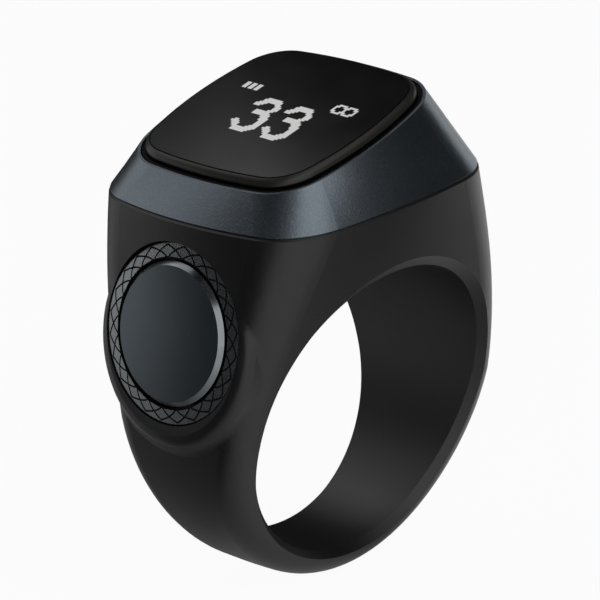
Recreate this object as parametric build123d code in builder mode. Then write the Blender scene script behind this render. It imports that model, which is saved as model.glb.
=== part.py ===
from build123d import *
import os
from math import cos, radians, sin

os.makedirs("parts", exist_ok=True)

# Finger ring counter: bore axis along Y through the origin, head on +Z, button on -X.
# All sizes in millimetres.

# Band and head
BORE_RADIUS = 10.0
BORE_BEVEL = 0.55
FRONT_BOW = 0.04
BAND_INNER = 9.0
BAND_BOTTOM = 1.85
BAND_FAR = 2.02
BAND_NEAR = 2.55
BAND_STEPS = 12
BAND_CROWN = 0.12
EDGE_ROUND = 1.7
EDGE_GROWTH = 0.195
HALF_WIDTH = 5.74
FLARE = (0.285, 0.004, -0.00025)
# Height, reach on the button side, reach on the far side, bow of the flanks, bow of the fronts
HEAD_STATIONS = (
    (0.0, BORE_RADIUS + BAND_NEAR, BORE_RADIUS + BAND_FAR, BAND_CROWN, 0.0),
    (2.0, 12.65, 11.97, 0.2, 0.08),
    (5.0, 12.7, 11.6, 0.35, 0.25),
    (10.0, 12.35, 10.42, 0.8, 0.55),
    (15.0, 11.6, 8.92, 1.5, 0.9),
    (19.0, 10.9, 7.9, 1.9, 1.1),
)

# Seam between body and bezel, then the display face; both lean toward the button
SEAM_CENTRE = (-1.5, 0, 14.86)
SEAM_LEAN = 5.0
SEAM_OUTLINE = (10.22, 10.03, 1.55, 0.91, 4.6)
FACE_CENTRE = (-2.52, 0, 18.64)
FACE_LEAN = 17.5
FACE_OUTLINE = (7.85, 8.18, 0.6, 1.1, 3.7)
HEAD_WALL = 1.4
BORE_WALL = 1.2
BEZEL_WALL = 1.2
BEZEL_LIP = 0.2
SEAM_GAP = 0.03
SEAM_BREAK = 0.12
SEAL_INSET = 0.5
SEAL_WIDTH = 0.45
SEAL_DEPTH = 0.4

# Display stack, measured along the normal of the display face
LENS_INSET = 0.5
LENS_TOP = 0.65
LENS_BOTTOM = -0.55
LENS_ROUND = 0.5
PANEL = (11.0, 14.0, 1.1)
PANEL_TOP = -0.65
HOLDER_TOP = -0.58
HOLDER_BOTTOM = -2.6
HOLDER_FLOOR = -2.05
HOLDER_INSET = 0.62
RIBBON_WIDTH = 5.0
RIBBON_THICK = 0.12

# Electronics in the head
BOARD_LEFT = -8.0
BOARD_RIGHT = 1.0
BOARD_HALF = 6.4
BOARD_BOTTOM = 12.9
BOARD_TOP = 13.5
SCREW_PLACES = ((-6.9, 4.6), (-6.9, -4.6), (-0.5, 5.3), (-0.5, -5.3))
SCREW_RADIUS = 0.42
CELL = (6.0, 12.0, 3.0)
CELL_CENTRE = (3.4, 0, 15.1)
MOTOR_X = 4.4
MOTOR_RADIUS = 3.0
MOTOR_BOTTOM = 11.25
MOTOR_TOP = 13.35
CONTACT_PLACES = ((0.0, 2.0), (0.0, -2.0))
CONTACT_RADIUS = 0.9

# Push button on the flank, measured along its outward normal from the flank
BUTTON_CENTRE = (-12.5, 0, 6.83)
BUTTON_LEAN = 9.0
BOSS_SIZE = (6.55, 6.9)
BOSS_DROP = 0.4
BOSS_DEPTH = 1.9
BOSS_SPREAD = 0.35
BOSS_ROUND = 0.95
BOSS_BLEND = 0.8
TRIM_OUTER = 5.8
TRIM_INNER = 4.8
CAP_RADIUS = 4.62
CAP_TOP = 0.5
CAP_BOTTOM = -0.45
SEAT_DEPTH = 0.85
SLOT_TOP = -1.45
SLOT_BOTTOM = -3.15
STEM_RADIUS = 1.2
STEM_END = -1.85
CLIP_TOP = -1.51
CLIP_BOTTOM = -1.69
PLUNGER_TOP = -1.9
HOUSING_TOP = -2.15
HOUSING_BOTTOM = -2.85
PLUNGER_RADIUS = 0.72


def leaning_plane(centre, lean):
    """Horizontal plane turned about Y so that its +X side rises."""
    turn = radians(lean)
    return Plane(origin=centre, x_dir=(cos(turn), 0, sin(turn)), z_dir=(-sin(turn), 0, cos(turn)))


def half_width(height):
    """Half of the ring's width along Y at a height above the bore axis."""
    first, second, third = FLARE
    return HALF_WIDTH + first * height + second * height**2 + third * height**3


def bowed_line(start, end, bow):
    """Line from start to end, bowed out to its right by the given height."""
    if bow == 0:
        return Line(start, end)
    first, last = Vector(*start), Vector(*end)
    along = (last - first).normalized()
    middle = (first + last) / 2 + Vector(along.Y, -along.X) * bow
    return ThreePointArc(start, middle, end)


def bowed_rectangle(left, right, half, bow_x, bow_y, corner):
    """Rectangle with bowed sides and rounded corners, drawn in the sketch in hand."""
    corners = (
        (bow_x - left, bow_y - half),
        (right - bow_x, bow_y - half),
        (right - bow_x, half - bow_y),
        (bow_x - left, half - bow_y),
    )
    with BuildLine() as sides:
        for index, bow in enumerate((bow_y, bow_x, bow_y, bow_x)):
            bowed_line(corners[index], corners[(index + 1) % 4], bow)
    make_face(sides.edges())
    fillet(vertices(), corner)


def outline(sizes, inset):
    """One of the head's outlines, drawn smaller by an inset all round."""
    half_x, half_y, bow_x, bow_y, corner = sizes
    bowed_rectangle(half_x - inset, half_x - inset, half_y - inset, bow_x, bow_y, corner - inset)


def section_plane(turn):
    """Plane through the bore axis, its local X pointing out of the band."""
    return Plane(origin=(0, 0, 0), x_dir=(cos(turn), 0, sin(turn)), z_dir=(-sin(turn), 0, cos(turn)))


def fold(edge):
    """Angle in degrees between the two faces that meet at an edge of the part in hand."""
    first, second = (face.normal_at(edge @ 0.5) for face in faces() if edge in face.edges())
    return first.get_angle(second)


def board_box(x, y, size):
    """Box standing on the main board."""
    long, wide, tall = size
    with Locations((x, y, BOARD_TOP)):
        Box(long, wide, tall, align=(Align.CENTER, Align.CENTER, Align.MIN))


seam_plane = leaning_plane(SEAM_CENTRE, SEAM_LEAN)
face_plane = leaning_plane(FACE_CENTRE, FACE_LEAN)
button_out = (-cos(radians(BUTTON_LEAN)), 0, sin(radians(BUTTON_LEAN)))
button_plane = Plane(origin=BUTTON_CENTRE, x_dir=(0, -1, 0), z_dir=button_out)

# Ring body: flared head, band under it, boss for the button
with BuildPart() as button_boss:
    for depth, spread in ((0, 0), (-BOSS_DEPTH, BOSS_SPREAD)):
        with BuildSketch(button_plane.offset(depth)):
            with Locations((0, -BOSS_DROP)):
                Ellipse(BOSS_SIZE[0] + spread, BOSS_SIZE[1] + spread)
    loft()
    fillet(button_boss.edges().sort_by(Axis(BUTTON_CENTRE, button_out))[-1], BOSS_ROUND)

with BuildPart() as mouth_bevel:
    for first in (-90, 90):
        for step in range(BAND_STEPS + 1):
            turn = radians(first + 180 * step / BAND_STEPS)
            x, z = BORE_RADIUS * cos(turn), BORE_RADIUS * sin(turn)
            rim = half_width(z) - max(z, 0) * FRONT_BOW * (x / BORE_RADIUS) ** 2
            with BuildSketch(section_plane(turn)):
                with BuildLine():
                    Polyline(
                        (BORE_RADIUS - BORE_BEVEL, rim - 2 * BORE_BEVEL),
                        (BORE_RADIUS + 2 * BORE_BEVEL, rim + BORE_BEVEL),
                        (BORE_RADIUS - BORE_BEVEL, rim + BORE_BEVEL),
                        close=True,
                    )
                make_face()
        loft()
    mirror(about=Plane.XZ)

with BuildPart() as head_cavity:
    with BuildSketch(seam_plane):
        outline(SEAM_OUTLINE, HEAD_WALL)
    extrude(amount=-9)
    with BuildSketch(button_plane.offset(SLOT_TOP)):
        with Locations((0, 3.2)):
            Rectangle(4.4, 10.2)
    extrude(amount=SLOT_BOTTOM - SLOT_TOP)
    split(bisect_by=seam_plane, keep=Keep.BOTTOM)
    Cylinder(BORE_RADIUS + BORE_WALL - 0.5, 40, rotation=(90, 0, 0), mode=Mode.SUBTRACT)
    with BuildSketch(Plane.XZ):
        Circle(BORE_RADIUS + BORE_WALL)
        with Locations((-16.6, 0)):
            Rectangle(14.6, 30, mode=Mode.SUBTRACT)
    extrude(amount=20, both=True, mode=Mode.SUBTRACT)
    with BuildSketch(Plane.XY.offset(8.4)):
        with Locations(*SCREW_PLACES[:2]):
            Circle(1.05)
    extrude(amount=BOARD_BOTTOM - 8.4, mode=Mode.SUBTRACT)
    with BuildSketch(Plane.XY.offset(10.7)):
        with Locations(*SCREW_PLACES[2:]):
            Circle(1.05)
    extrude(amount=BOARD_BOTTOM - 10.7, mode=Mode.SUBTRACT)
    with BuildSketch(Plane.XY.offset(9.4)):
        with Locations((MOTOR_X, 0)):
            Circle(2.5)
    extrude(amount=MOTOR_BOTTOM - 0.02 - 9.4, mode=Mode.SUBTRACT)

with BuildPart() as ring_body:
    for height, near, far, bow_x, bow_y in HEAD_STATIONS:
        with BuildSketch(Plane.XY.offset(height)):
            corner = EDGE_ROUND + EDGE_GROWTH * height
            bowed_rectangle(near, far, half_width(height), bow_x, bow_y, corner)
    loft()
    for step in range(BAND_STEPS + 1):
        turn = -radians(180 * step / BAND_STEPS)
        side = BAND_FAR if cos(turn) > 0 else BAND_NEAR
        reach = BORE_RADIUS + BAND_BOTTOM + (side - BAND_BOTTOM) * cos(turn) ** 4
        rim = half_width(reach * sin(turn))
        root = half_width(BAND_INNER * sin(turn))
        edge_x = reach - BAND_CROWN
        with BuildSketch(section_plane(turn)):
            with BuildLine():
                Polyline((edge_x, rim), (BAND_INNER, root), (BAND_INNER, -root), (edge_x, -rim))
                bowed_line((edge_x, -rim), (edge_x, rim), BAND_CROWN)
            make_face()
            fillet(vertices().sort_by(Axis.X)[-2:], EDGE_ROUND)
    loft()
    add(button_boss.part)
    inner_edges = ring_body.edges(Select.LAST).filter_by(Edge.is_interior)
    fillet([edge for edge in inner_edges if fold(edge) > 7.8], BOSS_BLEND)
    Cylinder(BORE_RADIUS, 40, rotation=(90, 0, 0), mode=Mode.SUBTRACT)
    add(mouth_bevel.part, mode=Mode.SUBTRACT)
    split(bisect_by=seam_plane, keep=Keep.BOTTOM)
    seam_face = ring_body.faces().sort_by(Axis(SEAM_CENTRE, seam_plane.z_dir))[-1]
    chamfer(seam_face.outer_wire().edges(), SEAM_BREAK)
    with BuildSketch(seam_plane):
        outline(SEAM_OUTLINE, SEAL_INSET)
        with BuildSketch(mode=Mode.SUBTRACT):
            outline(SEAM_OUTLINE, SEAL_INSET + SEAL_WIDTH)
    extrude(amount=-SEAL_DEPTH, mode=Mode.SUBTRACT)
    add(head_cavity.part, mode=Mode.SUBTRACT)
    with BuildSketch(button_plane.offset(-SEAT_DEPTH)):
        Circle(TRIM_OUTER + 0.06)
    extrude(amount=4, mode=Mode.SUBTRACT)
    with BuildSketch(button_plane.offset(SLOT_TOP)):
        Circle(STEM_RADIUS + 0.07)
    extrude(amount=1, mode=Mode.SUBTRACT)
    with BuildSketch(button_plane.offset(-SEAT_DEPTH)):
        Circle(STEM_RADIUS + 0.6)
    extrude(amount=-0.32, mode=Mode.SUBTRACT)
    with BuildSketch(Plane.XY.offset(9)):
        with Locations(*CONTACT_PLACES):
            Circle(CONTACT_RADIUS + 0.02)
    extrude(amount=2.5, mode=Mode.SUBTRACT)
    with BuildSketch(Plane.XY.offset(BOARD_BOTTOM)):
        with Locations(*SCREW_PLACES):
            Circle(SCREW_RADIUS + 0.03)
    extrude(amount=-1.8, mode=Mode.SUBTRACT)
ring_body.part.label = "ring_body"
export_step(ring_body.part, "parts/ring_body.step")

# Bezel frame: hollow wedge from the seam to the display face
with BuildPart() as bezel_frame:
    add(seam_face.moved(Location(seam_plane.z_dir * SEAM_GAP)))
    with BuildSketch(face_plane):
        outline(FACE_OUTLINE, 0)
    loft()
    bottom = bezel_frame.faces().sort_by(Axis(SEAM_CENTRE, seam_plane.z_dir))[0]
    chamfer(bottom.outer_wire().edges(), SEAM_BREAK)
    with BuildSketch(seam_plane.offset(-0.1)):
        outline(SEAM_OUTLINE, BEZEL_WALL)
    with BuildSketch(face_plane.offset(0.1)):
        outline(FACE_OUTLINE, BEZEL_LIP)
    loft(mode=Mode.SUBTRACT)
bezel_frame.part.label = "bezel_frame"
export_step(bezel_frame.part, "parts/bezel_frame.step")

with BuildPart() as seam_seal:
    with BuildSketch(seam_plane.offset(0.01 - SEAL_DEPTH)):
        outline(SEAM_OUTLINE, SEAL_INSET + 0.02)
        with BuildSketch(mode=Mode.SUBTRACT):
            outline(SEAM_OUTLINE, SEAL_INSET + SEAL_WIDTH - 0.02)
    extrude(amount=SEAL_DEPTH)
seam_seal.part.label = "seam_seal"
export_step(seam_seal.part, "parts/seam_seal.step")

# Display: lens, gasket, panel in its holder
with BuildPart() as cover_lens:
    with BuildSketch(face_plane.offset(LENS_BOTTOM)):
        outline(FACE_OUTLINE, LENS_INSET)
    extrude(amount=LENS_TOP - LENS_BOTTOM)
    top = cover_lens.faces().sort_by(Axis(FACE_CENTRE, face_plane.z_dir))[-1]
    fillet(top.edges(), LENS_ROUND)
cover_lens.part.label = "cover_lens"
export_step(cover_lens.part, "parts/cover_lens.step")

with BuildPart() as lens_gasket:
    with BuildSketch(face_plane.offset(LENS_BOTTOM)):
        outline(FACE_OUTLINE, BEZEL_LIP + 0.03)
        with BuildSketch(mode=Mode.SUBTRACT):
            outline(FACE_OUTLINE, LENS_INSET - 0.03)
    extrude(amount=-LENS_BOTTOM - 0.08)
lens_gasket.part.label = "lens_gasket"
export_step(lens_gasket.part, "parts/lens_gasket.step")

with BuildPart() as display_holder:
    with BuildSketch(face_plane.offset(HOLDER_BOTTOM)):
        outline(FACE_OUTLINE, HOLDER_INSET)
    extrude(amount=HOLDER_TOP - HOLDER_BOTTOM)
    with BuildSketch(face_plane.offset(HOLDER_FLOOR)):
        Rectangle(PANEL[0] + 0.2, PANEL[1] + 0.2)
    extrude(amount=3, mode=Mode.SUBTRACT)
    with BuildSketch(face_plane.offset(HOLDER_BOTTOM)):
        with Locations((-4.85, 0)):
            Rectangle(1.1, RIBBON_WIDTH + 0.4)
    extrude(amount=1, mode=Mode.SUBTRACT)
display_holder.part.label = "display_holder"
export_step(display_holder.part, "parts/display_holder.step")

with BuildPart() as display_panel:
    with BuildSketch(face_plane.offset(PANEL_TOP)):
        RectangleRounded(PANEL[0], PANEL[1], 0.3)
    extrude(amount=-PANEL[2])
display_panel.part.label = "display_panel"
export_step(display_panel.part, "parts/display_panel.step")

with BuildPart() as panel_foam:
    with BuildSketch(face_plane.offset(HOLDER_FLOOR + 0.02)):
        with Locations((0.7, 0)):
            Rectangle(9.0, 13.0)
    extrude(amount=0.26)
panel_foam.part.label = "panel_foam"
export_step(panel_foam.part, "parts/panel_foam.step")

with BuildPart() as display_ribbon:
    upper = face_plane.from_local_coords((-4.85, 0, PANEL_TOP - PANEL[2] - 0.02))
    lower = face_plane.from_local_coords((-4.85, 0, HOLDER_BOTTOM - 0.1))
    with BuildSketch(Plane.XZ):
        with BuildLine() as path:
            corners = ((upper.X, upper.Z), (lower.X, lower.Z), (-6.62, 13.9), (-6.15, 13.9))
            FilletPolyline(*corners, radius=0.25)
        trace(path.edges(), RIBBON_THICK)
    extrude(amount=RIBBON_WIDTH / 2, both=True)
display_ribbon.part.label = "display_ribbon"
export_step(display_ribbon.part, "parts/display_ribbon.step")

# Main board with its parts
with BuildPart() as main_board:
    with BuildSketch(Plane.XY.offset(BOARD_BOTTOM)):
        with Locations(((BOARD_LEFT + BOARD_RIGHT) / 2, 0)):
            RectangleRounded(BOARD_RIGHT - BOARD_LEFT, 2 * BOARD_HALF, 1.4)
        with Locations(*SCREW_PLACES):
            Circle(SCREW_RADIUS + 0.08, mode=Mode.SUBTRACT)
    extrude(amount=BOARD_TOP - BOARD_BOTTOM)
main_board.part.label = "main_board"
export_step(main_board.part, "parts/main_board.step")

with BuildPart() as ribbon_connector:
    board_box(-5.0, 0, (2.2, 6.0, 0.8))
ribbon_connector.part.label = "ribbon_connector"
export_step(ribbon_connector.part, "parts/ribbon_connector.step")

with BuildPart() as controller_chip:
    board_box(-1.8, 2.3, (4.0, 4.0, 0.7))
controller_chip.part.label = "controller_chip"
export_step(controller_chip.part, "parts/controller_chip.step")

with BuildPart() as charger_chip:
    board_box(-1.8, -3.2, (2.0, 2.0, 0.6))
charger_chip.part.label = "charger_chip"
export_step(charger_chip.part, "parts/charger_chip.step")

with BuildPart() as crystal:
    board_box(-1.8, -0.65, (2.0, 1.6, 0.5))
crystal.part.label = "crystal"
export_step(crystal.part, "parts/crystal.step")

with BuildPart() as antenna:
    board_box(-3.1, -5.5, (3.2, 1.2, 0.5))
antenna.part.label = "antenna"
export_step(antenna.part, "parts/antenna.step")

with BuildPart() as board_passives:
    for column in range(3):
        board_box(-4.6 + 1.1 * column, 5.6, (0.6, 0.3, 0.3))
board_passives.part.label = "board_passives"
export_step(board_passives.part, "parts/board_passives.step")

with BuildPart() as board_screws:
    with BuildSketch(Plane.XY.offset(BOARD_TOP)):
        with Locations(*SCREW_PLACES):
            Circle(0.8)
    extrude(amount=0.4)
    with BuildSketch(Plane.XY.offset(BOARD_TOP)):
        with Locations(*SCREW_PLACES):
            Circle(SCREW_RADIUS)
    extrude(amount=-2.2)
    with BuildSketch(Plane.XY.offset(BOARD_TOP + 0.4)):
        with Locations(*SCREW_PLACES):
            Rectangle(1.0, 0.2)
            Rectangle(0.2, 1.0)
    extrude(amount=-0.18, mode=Mode.SUBTRACT)
board_screws.part.label = "board_screws"
export_step(board_screws.part, "parts/board_screws.step")

# Battery and its leads
with BuildPart() as battery_cell:
    with Locations(CELL_CENTRE):
        Box(*CELL)
    fillet(battery_cell.edges().filter_by(Axis.Y), 0.6)
battery_cell.part.label = "battery_cell"
export_step(battery_cell.part, "parts/battery_cell.step")

with BuildPart() as battery_leads:
    for y in (-1.0, -2.0):
        with BuildLine():
            FilletPolyline((0.38, y, 15.1), (-0.35, y, 15.1), (-0.35, y, BOARD_TOP), radius=0.4)
        with BuildSketch(Plane(origin=(0.38, y, 15.1), z_dir=(-1, 0, 0))):
            Circle(0.22)
        sweep()
battery_leads.part.label = "battery_leads"
export_step(battery_leads.part, "parts/battery_leads.step")

# Vibration motor: base, shaft, eccentric rotor, cup
with BuildPart() as motor_base:
    with BuildSketch(Plane.XY.offset(MOTOR_BOTTOM)):
        with Locations((MOTOR_X, 0)):
            Circle(MOTOR_RADIUS)
    extrude(amount=0.15)
motor_base.part.label = "motor_base"
export_step(motor_base.part, "parts/motor_base.step")

with BuildPart() as motor_shaft:
    with BuildSketch(Plane.XY.offset(MOTOR_BOTTOM + 0.15)):
        with Locations((MOTOR_X, 0)):
            Circle(0.3)
    extrude(amount=1.7)
motor_shaft.part.label = "motor_shaft"
export_step(motor_shaft.part, "parts/motor_shaft.step")

with BuildPart() as motor_rotor:
    with BuildSketch(Plane.XY.offset(MOTOR_BOTTOM + 0.4)):
        with Locations((MOTOR_X, 0)):
            Circle(2.6)
            with Locations((-3, 0)):
                Rectangle(6, 8, mode=Mode.SUBTRACT)
            Circle(0.8)
            Circle(0.33, mode=Mode.SUBTRACT)
    extrude(amount=1.2)
motor_rotor.part.label = "motor_rotor"
export_step(motor_rotor.part, "parts/motor_rotor.step")

with BuildPart() as motor_cup:
    with BuildSketch(Plane.XY.offset(MOTOR_BOTTOM + 0.16)):
        with Locations((MOTOR_X, 0)):
            Circle(MOTOR_RADIUS)
    extrude(amount=MOTOR_TOP - MOTOR_BOTTOM - 0.16)
    with BuildSketch(Plane.XY.offset(MOTOR_BOTTOM)):
        with Locations((MOTOR_X, 0)):
            Circle(MOTOR_RADIUS - 0.15)
    extrude(amount=MOTOR_TOP - MOTOR_BOTTOM - 0.15, mode=Mode.SUBTRACT)
motor_cup.part.label = "motor_cup"
export_step(motor_cup.part, "parts/motor_cup.step")

# Charging contacts in the bore
with BuildPart() as charging_contacts:
    for bottom, top, radius in (
        (10.1, 11.25, CONTACT_RADIUS),
        (11.25, 11.5, 1.25),
        (11.5, BOARD_BOTTOM, 0.4),
    ):
        with BuildSketch(Plane.XY.offset(bottom)):
            with Locations(*CONTACT_PLACES):
                Circle(radius)
        extrude(amount=top - bottom)
charging_contacts.part.label = "charging_contacts"
export_step(charging_contacts.part, "parts/charging_contacts.step")

# Push button: trim ring, cap with stem, seal, clip
with BuildPart() as button_trim:
    with BuildSketch(button_plane.offset(0.02 - SEAT_DEPTH)):
        Circle(TRIM_OUTER)
        Circle(TRIM_INNER, mode=Mode.SUBTRACT)
    extrude(amount=SEAT_DEPTH - 0.05)
    chamfer(button_trim.faces().sort_by(Axis(BUTTON_CENTRE, button_out))[-1].edges(), 0.08)
button_trim.part.label = "button_trim"
export_step(button_trim.part, "parts/button_trim.step")

with BuildPart() as button_cap:
    with BuildSketch(button_plane.offset(CAP_BOTTOM)):
        Circle(CAP_RADIUS)
    extrude(amount=CAP_TOP - CAP_BOTTOM)
    chamfer(button_cap.faces().sort_by(Axis(BUTTON_CENTRE, button_out))[-1].edges(), 0.35)
    for top, bottom, radius in (
        (CAP_BOTTOM, CLIP_TOP + 0.01, STEM_RADIUS),
        (CLIP_TOP + 0.01, CLIP_BOTTOM - 0.01, STEM_RADIUS - 0.25),
        (CLIP_BOTTOM - 0.01, STEM_END, STEM_RADIUS),
    ):
        with BuildSketch(button_plane.offset(bottom)):
            Circle(radius)
        extrude(amount=top - bottom)
button_cap.part.label = "button_cap"
export_step(button_cap.part, "parts/button_cap.step")

with BuildPart() as stem_seal:
    with BuildSketch(button_plane.offset(-SEAT_DEPTH - 0.3)):
        Circle(STEM_RADIUS + 0.58)
        Circle(STEM_RADIUS + 0.03, mode=Mode.SUBTRACT)
    extrude(amount=0.28)
stem_seal.part.label = "stem_seal"
export_step(stem_seal.part, "parts/stem_seal.step")

with BuildPart() as stem_clip:
    with BuildSketch(button_plane.offset(CLIP_BOTTOM)):
        Circle(1.75)
        Circle(STEM_RADIUS - 0.23, mode=Mode.SUBTRACT)
        with Locations((0, 1)):
            Rectangle(1.3, 2, mode=Mode.SUBTRACT)
    extrude(amount=CLIP_TOP - CLIP_BOTTOM)
stem_clip.part.label = "stem_clip"
export_step(stem_clip.part, "parts/stem_clip.step")

# Switch under the button
with BuildPart() as switch_housing:
    with BuildSketch(button_plane.offset(HOUSING_BOTTOM)):
        RectangleRounded(3.6, 3.2, 0.3)
    extrude(amount=HOUSING_TOP - HOUSING_BOTTOM)
    with BuildSketch(button_plane.offset(HOUSING_BOTTOM + 0.05)):
        Circle(1.35)
    extrude(amount=0.52, mode=Mode.SUBTRACT)
    with BuildSketch(button_plane.offset(HOUSING_BOTTOM + 0.5)):
        Circle(PLUNGER_RADIUS + 0.05)
    extrude(amount=1, mode=Mode.SUBTRACT)
switch_housing.part.label = "switch_housing"
export_step(switch_housing.part, "parts/switch_housing.step")

with BuildPart() as switch_plunger:
    with BuildSketch(button_plane.offset(PLUNGER_TOP - 0.52)):
        Circle(1.0)
    extrude(amount=0.12)
    with BuildSketch(button_plane.offset(PLUNGER_TOP - 0.4)):
        Circle(PLUNGER_RADIUS)
    extrude(amount=0.4)
switch_plunger.part.label = "switch_plunger"
export_step(switch_plunger.part, "parts/switch_plunger.step")

with BuildPart() as switch_dome:
    with BuildSketch(Plane(origin=BUTTON_CENTRE, x_dir=(0, -1, 0), z_dir=button_plane.y_dir)):
        with BuildLine():
            ThreePointArc((0.15, 2.46), (0.75, 2.54), (1.25, 2.72))
            Line((1.25, 2.72), (1.25, 2.77))
            ThreePointArc((1.25, 2.77), (0.75, 2.59), (0.15, 2.51))
            Line((0.15, 2.51), (0.15, 2.46))
        make_face()
    revolve(axis=Axis(BUTTON_CENTRE, button_out))
switch_dome.part.label = "switch_dome"
export_step(switch_dome.part, "parts/switch_dome.step")

with BuildPart() as switch_board:
    with BuildSketch(button_plane.offset(HOUSING_BOTTOM - 0.01)):
        RectangleRounded(4.0, 3.5, 0.4)
    extrude(amount=-0.22)
switch_board.part.label = "switch_board"
export_step(switch_board.part, "parts/switch_board.step")

with BuildPart() as switch_ribbon:
    start = button_plane.from_local_coords((0, 1.8, HOUSING_BOTTOM - 0.1))
    bend = button_plane.from_local_coords((0, 6.78, HOUSING_BOTTOM - 0.1))
    with BuildSketch(Plane.XZ):
        with BuildLine() as path:
            FilletPolyline((start.X, start.Z), (bend.X, 13.58), (-7.3, 13.58), radius=0.35)
        trace(path.edges(), RIBBON_THICK)
    extrude(amount=1.2, both=True)
switch_ribbon.part.label = "switch_ribbon"
export_step(switch_ribbon.part, "parts/switch_ribbon.step")
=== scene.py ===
"""Looks of a finger-ring digital tasbih counter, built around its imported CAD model.

The soft black ring carries a blasted metal bezel, a black lens with lit dots on its face, and a round
push button set in an engraved trim ring. Sizes are in millimetres until they reach a mesh.
"""

import logging
from collections.abc import Callable, Iterable, Sequence
from dataclasses import dataclass, field
from enum import Enum
from math import atan2, cos, floor, pi, radians, sin

import bmesh
import bpy
from mathutils import Matrix, Vector


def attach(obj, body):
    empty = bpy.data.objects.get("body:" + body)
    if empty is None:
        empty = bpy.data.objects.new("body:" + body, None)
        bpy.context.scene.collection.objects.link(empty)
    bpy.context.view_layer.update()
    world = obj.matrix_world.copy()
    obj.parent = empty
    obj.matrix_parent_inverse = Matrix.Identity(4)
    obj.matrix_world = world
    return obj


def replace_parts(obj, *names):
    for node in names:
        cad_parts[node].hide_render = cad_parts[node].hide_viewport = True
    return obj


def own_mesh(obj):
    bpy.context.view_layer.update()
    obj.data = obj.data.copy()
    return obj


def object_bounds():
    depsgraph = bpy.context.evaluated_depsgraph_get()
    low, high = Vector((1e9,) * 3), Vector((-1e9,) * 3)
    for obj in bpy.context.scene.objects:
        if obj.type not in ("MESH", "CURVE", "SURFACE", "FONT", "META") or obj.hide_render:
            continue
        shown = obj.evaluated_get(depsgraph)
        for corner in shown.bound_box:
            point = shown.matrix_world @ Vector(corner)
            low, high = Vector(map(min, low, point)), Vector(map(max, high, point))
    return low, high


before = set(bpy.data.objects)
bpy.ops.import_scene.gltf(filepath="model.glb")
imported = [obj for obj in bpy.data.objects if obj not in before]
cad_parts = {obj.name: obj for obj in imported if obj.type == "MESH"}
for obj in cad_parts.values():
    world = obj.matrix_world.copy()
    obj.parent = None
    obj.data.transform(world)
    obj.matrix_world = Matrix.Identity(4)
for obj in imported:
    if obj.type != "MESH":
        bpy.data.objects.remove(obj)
CAD_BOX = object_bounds()

MM = 0.001
UNLIT = "#0a0a0a"
LOG = logging.getLogger("tasbih_counter")

# Shares of the fine grain and of the slow drift in a surface's tone, and size of that drift.
GRAIN_SHARE = 0.6
DRIFT_SHARE = 0.4
DRIFT_MM = 4.0
# Octaves of noise in the grain and in the drift.
GRAIN_DETAIL = 3.0
DRIFT_DETAIL = 2.0
# How much longer than wide brush marks are, as a scale along them.
BRUSH_SCALE = 0.05
# A wave texture of scale 1 has a thread every pi / 10 units.
THREAD_SCALE = pi / 10
THREAD_WANDER = 0.4
# Corners nearer than this become one, and corners this near the top belong to a node's face.
MERGE_MM = 0.0005
FACE_BAND_MM = 0.01
# Least share of a corner's shift that an inset divides by, so that sharp corners stay short.
LEAST_STRETCH = 0.35
# Angle in degrees above which an edge stays sharp.
CREASE = 32

# Decimal places that corners in millimetres are rounded to, so that doubles fall together.
CORNER_PLACES = 3
# Curve of the sRGB code: end and slope of its straight part, and offset and power of the rest.
CODE_KNEE = 0.04045
CODE_SLOPE = 12.92
CODE_OFFSET = 0.055
CODE_POWER = 2.4
# Numbers of the inputs and of the output that a mix node uses for colours.
MIX_FIRST = 6
MIX_LAST = 7
MIX_RESULT = 2

Colour = tuple[float, float, float, float]
Point = tuple[float, float]
Tree = bpy.types.NodeTree
Socket = bpy.types.NodeSocket

WHITE: Colour = (1.0, 1.0, 1.0, 1.0)


def linear(code: str) -> Colour:
    """Turns an sRGB hex colour into linear light.

    Args:
        code: Six hex digits after a hash sign.

    Returns:
        Linear red, green and blue, and an alpha of 1.
    """
    channels = [int(code[start:start + 2], 16) / 255 for start in (1, 3, 5)]
    red, green, blue = (
        part / CODE_SLOPE if part <= CODE_KNEE else ((part + CODE_OFFSET) / (1 + CODE_OFFSET)) ** CODE_POWER
        for part in channels
    )
    return red, green, blue, 1.0


def add_node(
    tree: Tree,
    kind: str,
    settings: dict[str | int, object] | None = None,
    links: dict[str | int, Socket] | None = None,
) -> bpy.types.Node:
    """Adds a node with its settings and its incoming links.

    Args:
        tree: Node tree that gets the node.
        kind: Blender's type name of the node.
        settings: Properties of the node, or values of its inputs by name or number.
        links: Sockets that feed the node's inputs, by name or number.

    Returns:
        The new node.
    """
    node = tree.nodes.new(kind)
    for key, value in (settings or {}).items():
        if isinstance(key, str) and hasattr(node, key):
            setattr(node, key, value)
        else:
            node.inputs[key].default_value = value
    for key, socket in (links or {}).items():
        tree.links.new(socket, node.inputs[key])
    return node


class Grain(Enum):
    """How a surface was made, which sets the pattern of its relief."""

    MOULDED = "moulded"
    BLASTED = "blasted"
    BRUSHED = "brushed"
    WOVEN = "woven"
    SMOOTH = "smooth"


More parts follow.
